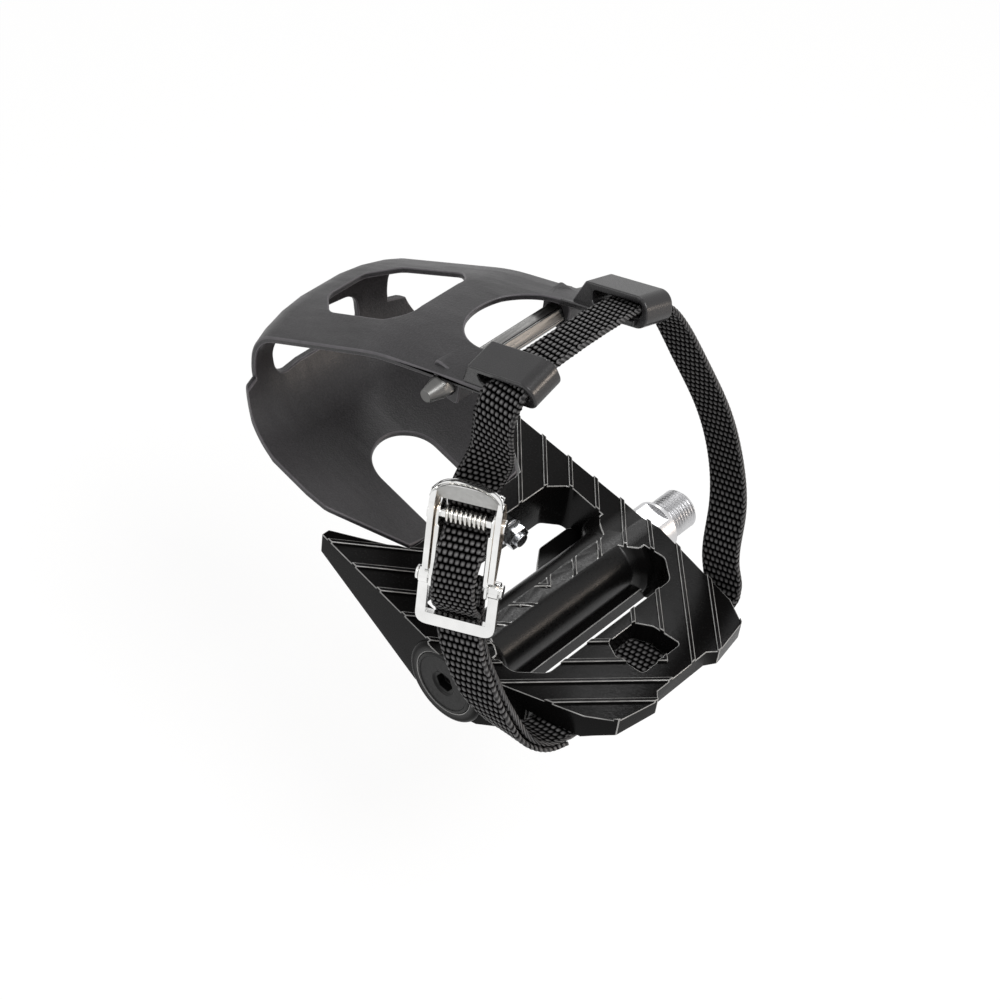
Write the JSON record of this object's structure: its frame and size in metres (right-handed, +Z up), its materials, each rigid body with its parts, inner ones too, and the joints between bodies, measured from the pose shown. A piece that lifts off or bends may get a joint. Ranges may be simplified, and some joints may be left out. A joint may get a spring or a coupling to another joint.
{
  "type": "toe clip pedal",
  "caption": "Left bicycle pedal with a ribbed dished platform on a threaded spindle, a moulded toe clip bolted in front and a woven strap held by a sprung buckle.",
  "frame": {"origin": "on the spindle axis, at the shoulder that seats against the crank", "axes": "+X forward to the toe, +Y outboard along the spindle, +Z up"},
  "size_m": [0.1727, 0.1213, 0.1371],
  "materials": {
    "body": "cast alloy under gloss black paint",
    "clip": "fine grained charcoal",
    "strap": "black woven webbing",
    "buckle": "bright plated",
    "steel": "turned steel",
    "zinc": "zinc plated",
    "bar": "grey satin",
    "cap": "black moulding",
    "seal": "black",
    "bush": "sintered"
  },
  "bodies": {
    "spindle": {"spindle": "steel", "bearing_inner": "steel", "bearing_washer": "steel", "lock_nut": "zinc"},
    "cage": {"ball_cage": "steel"},
    "pedal": {"pedal_body": "body", "inboard_bushing": "bush", "inboard_seal": "seal", "bearing_outer": "steel", "dust_cap": "cap", "cap_oring": "seal", "toe_clip": "clip", "spreader_bar": "bar", "clip_bolt_out": "zinc", "clip_bolt_in": "zinc", "clip_washer_out": "zinc", "clip_washer_in": "zinc", "clip_nut_out": "zinc", "clip_nut_in": "zinc", "strap": "strap", "strap_tail": "strap", "buckle_frame": "buckle", "lever_pin": "buckle", "lever_spring": "steel", "loop_pin": "buckle", "strap_loop": "buckle"},
    "lever": {"buckle_lever": "buckle"}
  },
  "joints": [
    {"name": "pedal_spin", "type": "hinge", "parent": "spindle", "child": "pedal", "pos_m": [0, 0.0558, 0], "axis": [0, 1, 0], "continuous": true},
    {"name": "cage_spin", "type": "hinge", "parent": "spindle", "child": "cage", "pos_m": [0, 0.0558, 0], "axis": [0, 1, 0], "continuous": true},
    {"name": "buckle_lever", "type": "hinge", "parent": "pedal", "child": "lever", "pos_m": [0.00472, 0.09583, 0.06612], "axis": [-0.8914, -0.4499, 0.0554], "range_deg": [0, 30], "stiffness_Nm_per_rad": 0.05, "springref_deg": -11.46}
  ],
  "couplings": [
    {"joint": "cage_spin", "follows": "pedal_spin", "ratio": 0.59028}
  ]
}
